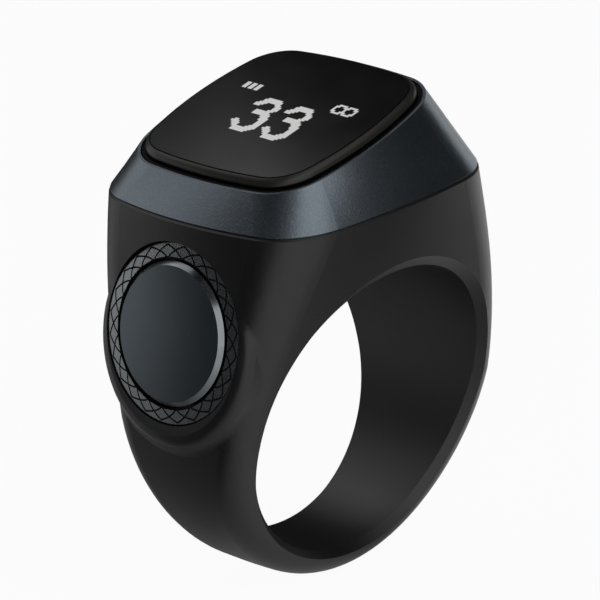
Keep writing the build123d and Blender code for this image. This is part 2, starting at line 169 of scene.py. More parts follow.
@dataclass(frozen=True)
class Finish:
    """One real material with the way its surface was made.

    Attributes:
        name: Material and process.
        dark: Colour of the pattern's low spots.
        light: Colour of the pattern's high spots.
        grain: Way the surface was made.
        grain_mm: Size of one grain of the pattern.
        relief_mm: Height of the pattern.
        roughness: Least and greatest roughness over the pattern.
        metallic: 1 for a bare metal.
        specular: Specular level of the shader.
        glow: Strength of the light that the surface gives off.
    """

    name: str
    dark: str
    light: str
    grain: Grain = Grain.MOULDED
    grain_mm: float = 0.14
    relief_mm: float = 0.002
    roughness: tuple[float, float] = (0.45, 0.55)
    metallic: float = 0.0
    specular: float = 0.5
    glow: float = 0.0

    def pattern(self, tree: Tree, place: Socket) -> Socket:
        """Draws the grain.

        Args:
            tree: The material's nodes.
            place: Position on the piece, in metres.

        Returns:
            Height of the grain, about 0 to 1.
        """
        fine = 1 / (self.grain_mm * MM)
        if self.grain is Grain.BLASTED:
            pits = add_node(tree, "ShaderNodeTexVoronoi", {"Scale": fine}, {"Vector": place})
            return pits.outputs["Distance"]
        if self.grain is Grain.WOVEN:
            threads = [
                add_node(
                    tree,
                    "ShaderNodeTexWave",
                    {"bands_direction": way, "Scale": fine * THREAD_SCALE, "Distortion": THREAD_WANDER},
                    {"Vector": place},
                )
                for way in ("X", "Y")
            ]
            heights = {index: thread.outputs["Fac"] for index, thread in enumerate(threads)}
            return add_node(tree, "ShaderNodeMath", {"operation": "MAXIMUM"}, heights).outputs[0]
        if self.grain is Grain.BRUSHED:
            marks = add_node(tree, "ShaderNodeMapping", {"Scale": (1, BRUSH_SCALE, 1)}, {"Vector": place})
            place = marks.outputs[0]
        detail = 0.0 if self.grain is Grain.SMOOTH else GRAIN_DETAIL
        noise = add_node(tree, "ShaderNodeTexNoise", {"Scale": fine, "Detail": detail}, {"Vector": place})
        return noise.outputs["Fac"]

    def make(self) -> bpy.types.Material:
        """Builds the material, or finds it if it was built before.

        Returns:
            The material.
        """
        known = bpy.data.materials.get(self.name)
        if known:
            return known
        material = bpy.data.materials.new(self.name)
        material.use_nodes = True
        tree = material.node_tree
        shader = tree.nodes["Principled BSDF"]
        place = add_node(tree, "ShaderNodeTexCoord").outputs["Object"]
        height = self.pattern(tree, place)
        drift = add_node(
            tree,
            "ShaderNodeTexNoise",
            {"Scale": 1 / (DRIFT_MM * MM), "Detail": DRIFT_DETAIL},
            {"Vector": place},
        )
        tone = add_node(tree, "ShaderNodeMath", {"operation": "MULTIPLY", 1: GRAIN_SHARE}, {0: height})
        mixed = add_node(
            tree,
            "ShaderNodeMath",
            {"operation": "MULTIPLY_ADD", 1: DRIFT_SHARE, "use_clamp": True},
            {0: drift.outputs["Fac"], 2: tone.outputs[0]},
        )
        colour = add_node(
            tree,
            "ShaderNodeMix",
            {"data_type": "RGBA", MIX_FIRST: linear(self.dark), MIX_LAST: linear(self.light)},
            {0: mixed.outputs[0]},
        )
        rough = add_node(
            tree,
            "ShaderNodeMapRange",
            {"To Min": self.roughness[0], "To Max": self.roughness[1]},
            {"Value": mixed.outputs[0]},
        )
        bump = add_node(
            tree, "ShaderNodeBump", {"Strength": 1.0, "Distance": self.relief_mm * MM}, {"Height": height}
        )
        shown = "Emission Color" if self.glow else "Base Color"
        tree.links.new(colour.outputs[MIX_RESULT], shader.inputs[shown])
        tree.links.new(rough.outputs[0], shader.inputs["Roughness"])
        tree.links.new(bump.outputs[0], shader.inputs["Normal"])
        shader.inputs["Metallic"].default_value = self.metallic
        shader.inputs["Specular IOR Level"].default_value = self.specular
        if self.glow:
            shader.inputs["Base Color"].default_value = linear(UNLIT)
            shader.inputs["Emission Strength"].default_value = self.glow
        return material


# Polycarbonate with soft-touch paint: matte and nearly black, with a fine dry grain.
# The paint's own grain is about 0.03 mm, drawn coarser so that it shows.
SOFT_PAINT = Finish(
    "soft_touch_painted_polycarbonate", dark="#0c0c0c", light="#131313", grain_mm=0.16,
    relief_mm=0.0045, roughness=(0.36, 0.46),
)
# Zinc alloy, bead blasted and plated dark: a satin slate with a fine sparkle from the pits.
BLASTED_ALLOY = Finish(
    "bead_blasted_plated_zinc", dark="#626a71", light="#7a838a", grain=Grain.BLASTED, grain_mm=0.13,
    relief_mm=0.004, roughness=(0.28, 0.38), metallic=1.0,
)
# Hard-coated acrylic, printed black behind: deep gloss with a faint drift in the polish.
BLACK_LENS = Finish(
    "hard_coated_black_acrylic", dark="#040404", light="#080808", grain=Grain.SMOOTH, grain_mm=1.8,
    relief_mm=0.0002, roughness=(0.1, 0.16), specular=0.35,
)
# Edge of that lens, ground round: a soft dark grey, because the print ends inside it.
GROUND_EDGE = Finish(
    "ground_acrylic_edge", dark="#262523", light="#302f2c", grain_mm=0.12, relief_mm=0.0006,
    roughness=(0.3, 0.38), specular=0.35,
)
# Organic light-emitting dots seen through the lens: a cool white with slight differences from dot to dot.
LIT_DOTS = Finish(
    "lit_organic_diode_dots", dark="#c9cac9", light="#e4e5e4", grain_mm=0.25, relief_mm=0.0005,
    roughness=(0.3, 0.4), glow=0.78,
)
# Silicone rubber, moulded: matte black that swallows the light in a gap.
SILICONE = Finish(
    "moulded_black_silicone", dark="#060606", light="#0d0d0d", grain_mm=0.1, roughness=(0.7, 0.85),
    specular=0.2,
)
# Stainless steel trim, etched and plated slate: flat lands with a fine sparkle.
ETCHED_TRIM = Finish(
    "etched_plated_stainless_steel", dark="#7e8386", light="#989da0", grain=Grain.BLASTED, grain_mm=0.1,
    relief_mm=0.004, roughness=(0.22, 0.32), metallic=1.0,
)
# Black paint: in the etched lines it is the trim's real line fill; on the trim's outer edge it is painted
# shade of the gap around the trim, and in the lens's groove a painted dark reflection line. Dull and dark.
LINE_FILL_AND_PAINTED_SHADE = Finish(
    "black_line_fill_and_painted_shade", dark="#060607", light="#0c0c0e", grain_mm=0.08, roughness=(0.6, 0.75),
    specular=0.2,
)
# Aluminium button, fine blasted and anodised slate: a soft satin without sparkle.
ANODISED_CAP = Finish(
    "anodised_slate_aluminium", dark="#586066", light="#656d72", grain=Grain.BLASTED, grain_mm=0.08,
    relief_mm=0.0015, roughness=(0.28, 0.34), metallic=1.0,
)
# Diamond-cut edge of that button: bare aluminium turned bright.
CUT_EDGE = Finish(
    "diamond_cut_aluminium", dark="#767b7e", light="#868b8e", grain=Grain.SMOOTH, grain_mm=0.6,
    relief_mm=0.0003, roughness=(0.16, 0.24), metallic=1.0,
)
# Glass-filled nylon, moulded: dull charcoal with a coarse mould grain.
HOLDER_NYLON = Finish(
    "moulded_glass_filled_nylon", dark="#17181a", light="#26282b", grain_mm=0.3, relief_mm=0.006
)
# Display glass with its dark cell: smooth and cold.
PANEL_GLASS = Finish(
    "laminated_display_glass", dark="#0a0b0e", light="#14161b", grain=Grain.SMOOTH, grain_mm=2.0,
    relief_mm=0.0002, roughness=(0.05, 0.1),
)
# Closed-cell polyurethane foam, cut: small open bubbles on the cut face.
FOAM = Finish(
    "cut_polyurethane_foam", dark="#1a1a1b", light="#3a3a3c", grain=Grain.BLASTED, grain_mm=0.25,
    relief_mm=0.03, roughness=(0.85, 0.95), specular=0.2,
)
# Polyimide film, laminated over copper: clear amber with a slight gloss.
POLYIMIDE = Finish(
    "laminated_polyimide_film", dark="#8a4a12", light="#b8701f", grain=Grain.BRUSHED, grain_mm=0.3,
    relief_mm=0.001, roughness=(0.25, 0.35),
)
# Glass-epoxy laminate under green resist: the cloth's weave shows through.
LAMINATE = Finish(
    "resist_coated_glass_epoxy", dark="#0c3a22", light="#1b5a36", grain=Grain.WOVEN, grain_mm=0.4,
    relief_mm=0.004, roughness=(0.3, 0.42),
)
# Liquid-crystal polymer, moulded: cream with a faint flow grain.
CONNECTOR_POLYMER = Finish("moulded_liquid_crystal_polymer", dark="#b9b29e", light="#d0cab8", grain_mm=0.2)
# Epoxy compound of a chip package, moulded: dull grey-black with a sandy grain.
CHIP_EPOXY = Finish("moulded_chip_epoxy", dark="#1c1d1f", light="#2c2d30", grain_mm=0.09, relief_mm=0.004)
# Nickel plate on drawn and stamped steel: pale metal with soft draw lines.
NICKEL = Finish(
    "nickel_plated_steel", dark="#a9a69f", light="#c2bfb8", grain=Grain.BRUSHED, grain_mm=0.2,
    relief_mm=0.001, roughness=(0.2, 0.32), metallic=1.0,
)
# Sintered alumina of the antenna: chalk white.
ALUMINA = Finish("sintered_alumina", dark="#c9c7c0", light="#e2e0da", grain_mm=0.12, roughness=(0.5, 0.65))
# Fired titanate body of the small capacitors: tan with a fine speckle.
TITANATE = Finish(
    "fired_titanate_ceramic", dark="#8a6a45", light="#a98a62", grain_mm=0.08, roughness=(0.4, 0.5)
)
# Zinc plate on the screws, the clip and the motor's shaft: bright with a bluish pass.
ZINC = Finish(
    "zinc_plated_steel", dark="#9aa0a6", light="#b9bfc4", grain=Grain.SMOOTH, grain_mm=0.5,
    relief_mm=0.001, roughness=(0.22, 0.34), metallic=1.0,
)
# Aluminium laminate pouch of the cell: silver foil, slightly wrinkled.
POUCH_FOIL = Finish(
    "laminated_aluminium_pouch", dark="#a4a7a9", light="#c6c8c9", grain_mm=1.6, relief_mm=0.03,
    roughness=(0.25, 0.4), metallic=1.0,
)
# Vinyl jacket of the leads: red with a soft gloss.
LEAD_VINYL = Finish(
    "extruded_red_vinyl", dark="#8c1414", light="#a82020", grain_mm=0.2, roughness=(0.35, 0.45)
)
# Sintered tungsten of the rotor: heavy dark grey with open pores.
TUNGSTEN = Finish(
    "sintered_tungsten", dark="#4a4a4c", light="#68686b", grain=Grain.BLASTED, grain_mm=0.15,
    relief_mm=0.005, roughness=(0.4, 0.5), metallic=1.0,
)
# Gold plate on the charging contacts: warm and polished.
GOLD = Finish(
    "gold_plated_brass", dark="#c79a45", light="#dcb25e", grain=Grain.SMOOTH, grain_mm=0.4,
    relief_mm=0.0005, roughness=(0.16, 0.26), metallic=1.0,
)


@dataclass(frozen=True)
class Plate:
    """A flat place on the object, with two directions along it and one out of it.

    Attributes:
        origin: Middle of the place, in metres.
        right: Direction to its right.
        up: Direction to its top.
        out: Direction out of the surface.
    """

    origin: Vector
    right: Vector
    up: Vector
    out: Vector

    @classmethod
    def on_node(cls, node: str, out: Vector) -> "Plate":
        """Finds the outermost flat face of a CAD node.

        Args:
            node: Name of the node.
            out: Direction that the face looks in, square to Y.

        Returns:
            The plate, with its right along -Y.
        """
        right = Vector((0, -1, 0))
        up = out.cross(right)
        corners = [vertex.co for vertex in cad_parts[node].data.vertices]
        level = max(corner.dot(out) for corner in corners)
        rim = [corner for corner in corners if corner.dot(out) > level - FACE_BAND_MM * MM]
        spans = [[corner.dot(way) for corner in rim] for way in (right, up)]
        middle = [(min(span) + max(span)) / 2 for span in spans]
        return cls(right * middle[0] + up * middle[1] + out * level, right, up, out)

    def at(self, right: float, up: float, out: float) -> Vector:
        """Place in metres of a point given in millimetres along the plate's directions."""
        return self.origin + (self.right * right + self.up * up + self.out * out) * MM

    def turned(self, turn: float) -> "Plate":
        """The same plate with its directions turned about its outward axis, in radians."""
        right = self.right * cos(turn) + self.up * sin(turn)
        return Plate(self.origin, right, self.out.cross(right), self.out)


def finish_mesh(
    name: str, mesh: bmesh.types.BMesh, finishes: Sequence[Finish], body: str
) -> bpy.types.Object:
    """Turns a working mesh into a piece that rides on a body.

    Args:
        name: Name of the piece.
        mesh: Working mesh, freed here.
        finishes: Finishes in the order of the faces' material numbers.
        body: CAD body that carries the piece.

    Returns:
        The piece.
    """
    bmesh.ops.remove_doubles(mesh, verts=mesh.verts, dist=MERGE_MM * MM)
    bmesh.ops.recalc_face_normals(mesh, faces=mesh.faces)
    data = bpy.data.meshes.new(name)
    mesh.to_mesh(data)
    mesh.free()
    for finish in finishes:
        data.materials.append(finish.make())
    data.polygons.foreach_set("use_smooth", [True] * len(data.polygons))
    data.set_sharp_from_angle(angle=radians(CREASE))
    piece = bpy.data.objects.new(name, data)
    bpy.context.scene.collection.objects.link(piece)
    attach(piece, body)
    LOG.info("%s: %d faces on %s", name, len(data.polygons), body)
    return piece


def join_rows(
    mesh: bmesh.types.BMesh, places: Sequence[Sequence[Vector]], finish_of: dict[int, int], closed: bool
) -> None:
    """Joins sections that stand around an axis into a solid.

    Args:
        mesh: Working mesh that gets the faces.
        places: Points of each section, in order around the axis.
        finish_of: Material number of the spans that don't take number 0, by span.
        closed: Whether a section's last point joins its first; otherwise both ends are filled.
    """
    rows = [[mesh.verts.new(place) for place in section] for section in places]
    spans = len(rows[0]) if closed else len(rows[0]) - 1
    for step, row in enumerate(rows):
        after = rows[(step + 1) % len(rows)]
        for span in range(spans):
            follow = (span + 1) % len(row)
            face = mesh.faces.new((row[span], after[span], after[follow], row[follow]))
            face.material_index = finish_of.get(span, 0)
    if not closed:
        for end in (0, -1):
            mesh.faces.new([row[end] for row in rows])


def turn_profile(
    plate: Plate, profile: Callable[[float], Sequence[Point]], steps: int
) -> list[list[Vector]]:
    """Turns a profile about a plate's outward axis.

    Args:
        plate: Plate whose axis the profile turns about.
        profile: Radius and height of each point, in millimetres, at a turn in radians.
        steps: Number of facets around.

    Returns:
        Points of each section, in order around the axis.
    """
    turns = [2 * pi * step / steps for step in range(steps)]
    return [
        [plate.at(radius * cos(turn), radius * sin(turn), height) for radius, height in profile(turn)]
        for turn in turns
    ]


def inset(loop: Sequence[Vector], distance: float) -> list[Vector]:
    """Draws a loop smaller by an even distance.

    Args:
        loop: Corners of a counter-clockwise loop in a plane.
        distance: How far each side moves in.

    Returns:
        As many corners, moved in.
    """
    corners = []
    for index, corner in enumerate(loop):
        back = (corner - loop[index - 1]).normalized()
        ahead = (loop[(index + 1) % len(loop)] - corner).normalized()
        inward = Vector((-back.y - ahead.y, back.x + ahead.x))
        inward.normalize()
        stretch = max(inward.dot(Vector((-ahead.y, ahead.x))), LEAST_STRETCH)
        corners.append(corner + inward * distance / stretch)
    return corners


def raise_pad(
    mesh: bmesh.types.BMesh, lower: Sequence[Vector], upper: Sequence[Vector], side_finish: int
) -> None:
    """Adds one raised pad with sloping sides.

    Args:
        mesh: Working mesh that gets the faces.
        lower: Loop of points on the ground.
        upper: Loop of as many points along the pad's top edge.
        side_finish: Material number of the sides.
    """
    ground = [mesh.verts.new(point) for point in lower]
    top = [mesh.verts.new(point) for point in upper]
    mesh.faces.new(top)
    mesh.faces.new(list(reversed(ground))).material_index = side_finish
    for index, corner in enumerate(ground):
        after = (index + 1) % len(ground)
        mesh.faces.new((corner, ground[after], top[after], top[index])).material_index = side_finish


def dress(nodes: dict[str, Finish]) -> None:
    """Gives CAD nodes their finishes.

    Args:
        nodes: Finish of each node, by name.
    """
    for name, finish in nodes.items():
        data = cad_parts[name].data
        data.materials.clear()
        data.materials.append(finish.make())
        LOG.info("%s: %s", name, finish.name)


@dataclass
class Shell:
    """Ring body, bezel frame and the seal between them."""

    def dress(self) -> None:
        """Paints the shell's nodes."""
        dress({"ring_body": SOFT_PAINT, "bezel_frame": BLASTED_ALLOY, "seam_seal": SILICONE})


@dataclass
class DotSheet:
    """Square dots of a display, lit by drawing shapes on them.

    Attributes:
        lit: Column and row of each lit dot.
    """

    lit: set[tuple[int, int]] = field(default_factory=set)

    def fill(self, loop: Sequence[Point], clear: bool = False) -> None:
        """Lights the dots whose middles lie in a loop.

        Args:
            loop: Corners of the loop, in dots.
            clear: Whether to put those dots out instead.
        """
        columns, rows = ([corner[axis] for corner in loop] for axis in (0, 1))
        for column in range(floor(min(columns)), floor(max(columns)) + 1):
            for row in range(floor(min(rows)), floor(max(rows)) + 1):
                if self.inside(column + 0.5, row + 0.5, loop):
                    (self.lit.discard if clear else self.lit.add)((column, row))

    @staticmethod
    def inside(x: float, y: float, loop: Sequence[Point]) -> bool:
        """Tells whether a point lies in a loop, by counting the sides to its right.

        Args:
            x: The point's place across.
            y: The point's place along.
            loop: Corners of the loop.

        Returns:
            Whether it does.
        """
        crossings = 0
        for (x0, y0), (x1, y1) in zip(loop, [*loop[1:], loop[0]]):
            if (y0 > y) != (y1 > y) and x < x0 + (y - y0) * (x1 - x0) / (y1 - y0):
                crossings += 1
        return crossings % 2 == 1


@dataclass
class Display:
    """Cover lens with its gasket, the panel in its holder, and the dots that it lights.

    Attributes:
        lean: Angle of the display face to the level, in degrees.
        lens_edge: Inset and height below the face of each step of the lens's edge, from its foot up.
        lens_ground: Spans of that edge that are ground.
        lens_painted_dark_line: Spans of that edge that make a fine groove, painted black as a painted dark
            reflection line around the face.
        dot_turn: Turn of the rows of dots on the face, in degrees.
        dot_pitch: Width of one dot.
        dot_shift: Shift of the dots from the lens's middle.
        dot_lift: Height of the lit dots above the lens.
        dot_depth: Thickness of the lit dots.
        digit_places: Lower left corner of each digit, in dots.
        digit_shape: Corners of a figure three from its lower left corner, in dots.
        charge_bars: Number of charge bars.
        charge_place: Lower left corner of the first charge bar, in dots.
        charge_bar: Width and height of a charge bar, in dots.
        charge_pitch: Dots from one charge bar to the next.
        link_middles: Middles of the two linked rings, in dots.
        link_half: Half of one ring's width, in dots.
        link_corner: Cut of the ring's corners, in dots.
        link_stroke: Width of the ring's line, in dots.
    """

    lean: float = 17.5
    lens_edge: tuple[Point, ...] = (
        (0.0, -1.2), (0.0, -0.5), (0.008, -0.413), (0.03, -0.329), (0.067, -0.25), (0.117, -0.179),
        (0.179, -0.117), (0.25, -0.067), (0.329, -0.03), (0.335, -0.07), (0.42, -0.07), (0.426, 0.0),
    )
    lens_ground: range = range(1, 8)
    lens_painted_dark_line: range = range(8, 11)
    dot_turn: float = -1.5
    dot_pitch: float = 0.175
    dot_shift: Point = (-0.06, -0.06)
    dot_lift: float = 0.002
    dot_depth: float = 0.006
    digit_places: tuple[Point, ...] = ((-14, -16), (2, -16))
    digit_shape: tuple[Point, ...] = (
        (4.9, 0.0), (10.3, 0.0), (14.3, 4.3), (14.3, 10.6), (10.9, 14.2), (12.7, 15.7), (12.9, 18.9),
        (9.3, 23.0), (3.5, 23.0), (-0.2, 18.3), (-0.2, 16.7), (2.4, 16.7), (4.9, 19.8), (8.3, 19.8),
        (9.8, 18.3), (9.9, 16.3), (8.3, 14.7), (3.9, 14.7), (3.9, 11.6), (8.6, 11.6), (11.2, 8.6),
        (11.2, 5.7), (8.9, 3.2), (5.8, 3.1), (2.9, 6.6), (0.9, 6.6), (0.3, 5.9), (0.3, 5.2),
    )
    charge_bars: int = 3
    charge_place: Point = (-28, 9)
    charge_bar: Point = (2, 4)
    charge_pitch: float = 3
    link_middles: tuple[Point, ...] = ((21, 11), (26, 11))
    link_half: float = 3
    link_corner: float = 1.6
    link_stroke: float = 1

    @property
    def out(self) -> Vector:
        """Direction that the display looks in."""
        rise = radians(self.lean)
        return Vector((-sin(rise), 0, cos(rise)))

    def lens_outline(self, plate: Plate) -> list[Vector]:
        """Finds the outline of the lens's foot.

        Args:
            plate: Plate on the lens's face.

        Returns:
            Corners in millimetres along the plate, counter-clockwise.
        """
        corners = [vertex.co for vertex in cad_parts["cover_lens"].data.vertices]
        foot = min(corner.dot(plate.out) for corner in corners) + FACE_BAND_MM * MM
        away = [(corner - plate.origin) / MM for corner in corners if corner.dot(plate.out) < foot]
        spots = {
            tuple(round(spot.dot(way), CORNER_PLACES) for way in (plate.right, plate.up)) for spot in away
        }
        return [Vector(spot) for spot in sorted(spots, key=lambda spot: atan2(spot[1], spot[0]))]

    def build_lens(self) -> bpy.types.Object:
        """Builds the lens with its ground edge and the fine groove around its face, whose black is a
        painted dark reflection line.

        Returns:
            The lens.
        """
        plate = Plate.on_node("cover_lens", self.out)
        outline = self.lens_outline(plate)
        # The groove's black paint is a painted dark reflection line at the start of the edge's rounding.
        finish_of = dict.fromkeys(self.lens_ground, 1) | dict.fromkeys(self.lens_painted_dark_line, 2)
        loops = [
            [plate.at(*spot, height) for spot in inset(outline, away)] for away, height in self.lens_edge
        ]
        mesh = bmesh.new()
        join_rows(mesh, list(zip(*loops)), finish_of, closed=False)
        lens = finish_mesh("lens", mesh, [BLACK_LENS, GROUND_EDGE, LINE_FILL_AND_PAINTED_SHADE], "ring")
        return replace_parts(lens, "cover_lens")

    def octagon(self, middle: Point, shrink: float) -> list[Point]:
        """Corners of a ring of the link sign.

        Args:
            middle: Middle of the ring.
            shrink: How far the line lies inside the ring's outer edge.

        Returns:
            Eight corners in order.
        """
        half, cut = self.link_half - shrink, self.link_corner - shrink / 2
        quarter = ((half, half - cut), (half - cut, half))
        signs = ((1, 1), (-1, 1), (-1, -1), (1, -1))
        corners = []
        for index, (across, along) in enumerate(signs):
            pair = quarter if index % 2 == 0 else quarter[::-1]
            corners += [(middle[0] + across * x, middle[1] + along * y) for x, y in pair]
        return corners

    def light_dots(self) -> DotSheet:
        """Draws the count, the charge bars and the link sign.

        Returns:
            The sheet with its lit dots.
        """
        sheet = DotSheet()
        for left, bottom in self.digit_places:
            sheet.fill([(left + x, bottom + y) for x, y in self.digit_shape])
        wide, tall = self.charge_bar
        for bar in range(self.charge_bars):
            left, bottom = self.charge_place[0] + bar * self.charge_pitch, self.charge_place[1]
            right, top = left + wide, bottom + tall
            sheet.fill(((left, bottom), (right, bottom), (right, top), (left, top)))
        for middle in self.link_middles:
            sheet.fill(self.octagon(middle, 0.0))
        for middle in self.link_middles:
            sheet.fill(self.octagon(middle, self.link_stroke), clear=True)
        return sheet

    def build_dots(self) -> bpy.types.Object:
        """Builds the lit dots on the lens.

        Returns:
            The piece with the lit dots.
        """
        plate = Plate.on_node("cover_lens", self.out).turned(radians(self.dot_turn))
        sheet = self.light_dots()
        mesh = bmesh.new()
        corners: dict[tuple[int, int], bmesh.types.BMVert] = {}
        for column, row in sorted(sheet.lit):
            loop = []
            for key in ((column, row), (column + 1, row), (column + 1, row + 1), (column, row + 1)):
                if key not in corners:
                    spot = [step * self.dot_pitch + shift for step, shift in zip(key, self.dot_shift)]
                    corners[key] = mesh.verts.new(plate.at(*spot, self.dot_lift))
                loop.append(corners[key])
            mesh.faces.new(loop)
        raised = bmesh.ops.extrude_face_region(mesh, geom=mesh.faces[:], use_keep_orig=True)
        tops = [item for item in raised["geom"] if isinstance(item, bmesh.types.BMVert)]
        bmesh.ops.translate(mesh, verts=tops, vec=plate.out * self.dot_depth * MM)
        return finish_mesh("display_lit_dots", mesh, [LIT_DOTS], "ring")

    def dress(self) -> None:
        """Paints the display's nodes."""
        dress({
            "lens_gasket": SILICONE,
            "display_holder": HOLDER_NYLON,
            "display_panel": PANEL_GLASS,
            "panel_foam": FOAM,
            "display_ribbon": POLYIMIDE,
        })


@dataclass
class PushButton:
    """Trim ring with its etched lattice of pointed arches, the button cap, and the switch under it.

    Attributes:
        lean: Angle of the button's axis above the level, in degrees.
        arches: Number of pointed arches around the lattice.
        arch_steps: Facets along one arch's foot.
        arch_bend: How strongly the arch lines bend; 1 is straight.
        arch_gap: Share of the foot that lies between two neighbouring lines.
        arch_turn: Turn of the lattice about the button's axis, in pitches.
        lattice: Radii that the arches run between.
        line_width: Width of an etched line.
        line_depth: Depth of an etched line.
        edge_ease: Rounding of the lands' edges.
        land_root: How far the lands reach below the floor of the lines.
        rim_gap: Gap between the arches and the plain rim, in line widths.
        trim_radii: Inner and outer radius of the trim.
        trim_depth: Thickness of the trim.
        trim_break: Chamfer of the trim's outer edge.
        trim_rise: Height of the trim's inner edge above its CAD face.
        trim_fall: Drop of the trim's face from its inner to its outer edge.
        painted: Spans of the trim's section that carry black paint: the lines' floor, as their real fill,
            and the outer edge, as painted shade of the gap around the trim.
        cap_radius: Radius of the cap.
        cap_height: Height of the cap above its stem.
        cap_edge: Width of the cap's cut edge.
        cap_crown: Height of the cap's faint dome.
        cap_facets: Facets around the cap.
        stem: Radius and height below the cap's top of each step of the stem.
        dome_radii: Inner and outer radius of the switch's snap dome.
        dome_rise: Height of that dome.
        dome_wall: Thickness of that dome.
        dome_keep: Share of its height that it would keep under a full press; not used.
        dome_facets: Facets around that dome.
        curve_steps: Steps along the curve of the cap's face and of that dome.
    """

    lean: float = 9.0
    arches: int = 24
    arch_steps: int = 12
    arch_bend: float = 1.3
    arch_gap: float = 0.07
    arch_turn: float = -0.17
    lattice: Point = (4.84, 5.69)
    line_width: float = 0.085
    line_depth: float = 0.05
    edge_ease: float = 0.015
    land_root: float = 0.01
    rim_gap: float = 0.6
    trim_radii: Point = (4.8, 5.8)
    trim_depth: float = 0.8
    trim_break: float = 0.06
    trim_rise: float = 0.05
    trim_fall: float = 0.11
    # Spans 5 and 6, the outer edge, are painted shade of the gap around the trim; spans 1 to 3 are the
    # lines' fill.
    painted: tuple[int, ...] = (1, 2, 3, 5, 6)
    cap_radius: float = 4.62
    cap_height: float = 0.95
    cap_edge: float = 0.28
    cap_crown: float = 0.2
    cap_facets: int = 192
    stem: tuple[Point, ...] = (
        (1.2, -0.95), (1.2, -2.0), (0.95, -2.0), (0.95, -2.2), (1.2, -2.2), (1.2, -2.35),
    )
    dome_radii: Point = (0.15, 1.25)
    dome_rise: float = 0.26
    dome_wall: float = 0.05
    dome_keep: float = 0.25
    dome_facets: int = 96
    curve_steps: int = 8

    @property
    def out(self) -> Vector:
        """Direction that the button looks in."""
        rise = radians(self.lean)
        return Vector((-cos(rise), 0, sin(rise)))

    @property
    def pitch(self) -> float:
        """Turn from one arch to the next, in radians."""
        return 2 * pi / self.arches

    def line_share(self, turn: float) -> float:
        """How far up the lattice a line has come when it has turned by a share of a pitch."""
        return max(turn, 0.0) ** (1 / self.arch_bend)

    def radius_at(self, share: float) -> float:
        """Radius at a share of the lattice's width."""
        return self.lattice[0] + share * (self.lattice[1] - self.lattice[0])

    def face_height(self, radius: float) -> float:
        """Height of the trim's face, which falls toward its outer edge."""
        inner, outer = self.trim_radii
        return self.trim_rise - self.trim_fall * (radius - inner) / (outer - inner)

    def trim_profile(self, turn: float) -> list[Point]:
        """Section of the trim ring, whose rim dips in between the arches' tips.

        Args:
            turn: Turn of the section, in radians.

        Returns:
            Radius and height of each corner.
        """
        inner, outer = self.trim_radii
        share = turn / self.pitch % 1
        edge = outer - self.trim_break
        rim = self.radius_at(self.line_share(max(share, 1 - share) - self.arch_gap))
        rim = min(rim + self.rim_gap * self.line_width, edge - 2 * self.edge_ease)
        return [
            (inner, -self.trim_depth),
            (inner, self.face_height(inner) - self.line_depth),
            (self.lattice[0], self.face_height(self.lattice[0]) - self.line_depth),
            (rim, self.face_height(rim) - self.line_depth),
            (rim + self.edge_ease, self.face_height(rim)),
            (edge, self.face_height(edge)),
            (outer, self.face_height(outer) - self.trim_break),
            (outer, -self.trim_depth),
        ]

    def land(self, middle: float, sides: Sequence[tuple[float, float]]) -> list[Point]:
        """Corners of a land that is the same on both sides.

        Args:
            middle: Turn of its middle, in radians.
            sides: Turn from the middle in pitches, and share of the lattice's width, up its right side.

        Returns:
            Radius and turn of each corner, counter-clockwise.
        """
        right = [(self.radius_at(share), middle - away * self.pitch) for away, share in sides]
        left = [(radius, 2 * middle - turn) for radius, turn in reversed(right)]
        return list(dict.fromkeys(right + left))

    def lands(self) -> Iterable[list[Point]]:
        """Draws every land inside the lattice: lancets at its foot, and the diamonds between them.

        Returns:
            Radius and turn of each corner, land by land.
        """
        shares = [step / self.arch_steps for step in range(self.arch_steps + 1)]
        cross = 0.5 - self.arch_gap
        foot = [(cross - cross * share, self.line_share(cross * share)) for share in shares]
        neck = [(self.arch_gap + cross * share, self.line_share(cross * share)) for share in shares]
        tip = [(0.5 - 0.5 * share, self.line_share(cross + 0.5 * share)) for share in shares[1:]]
        for index in range(self.arches):
            yield self.land((index + 0.5) * self.pitch, foot)
            yield self.land(index * self.pitch, neck + tip)

    def build_trim(self) -> bpy.types.Object:
        """Builds the trim ring with raised lands between dark lines.

        Returns:
            The trim ring.
        """
        plate = Plate.on_node("button_trim", self.out).turned(self.arch_turn * self.pitch)
        mesh = bmesh.new()
        sections = turn_profile(plate, self.trim_profile, self.arches * self.arch_steps)
        # The black on the outer edge is painted shade of the gap around the trim; in the lines it is their
        # fill.
        join_rows(mesh, sections, dict.fromkeys(self.painted, 1), closed=True)
        for corners in self.lands():
            loop = [Vector((radius * cos(turn), radius * sin(turn))) for radius, turn in corners]
            loops = []
            for ease, drop in ((0.0, self.line_depth + self.land_root), (self.edge_ease, 0.0)):
                spots = inset(loop, self.line_width / 2 + ease)
                loops.append([plate.at(*spot, self.face_height(spot.length) - drop) for spot in spots])
            raise_pad(mesh, *loops, side_finish=1)
        trim = finish_mesh("trim_ring", mesh, [ETCHED_TRIM, LINE_FILL_AND_PAINTED_SHADE], "ring")
        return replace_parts(trim, "button_trim")

    def build_cap(self) -> bpy.types.Object:
        """Builds the button cap with its cut edge and stem.

        Returns:
            The cap.
        """
        plate = Plate.on_node("button_cap", self.out)
        face = self.cap_radius - self.cap_edge
        shares = [step / self.curve_steps for step in range(1, self.curve_steps + 1)]
        crown = [(face * share, -self.cap_crown * share**2) for share in shares]
        edge = [(self.cap_radius, -self.cap_crown - self.cap_edge), (self.cap_radius, -self.cap_height)]
        profile = [*crown, *edge, *self.stem]
        mesh = bmesh.new()
        sections = turn_profile(plate, lambda turn: profile, self.cap_facets)
        join_rows(mesh, sections, {len(crown) - 1: 1}, closed=False)
        cap = finish_mesh("cap", mesh, [ANODISED_CAP, CUT_EDGE], "button")
        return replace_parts(cap, "button_cap")

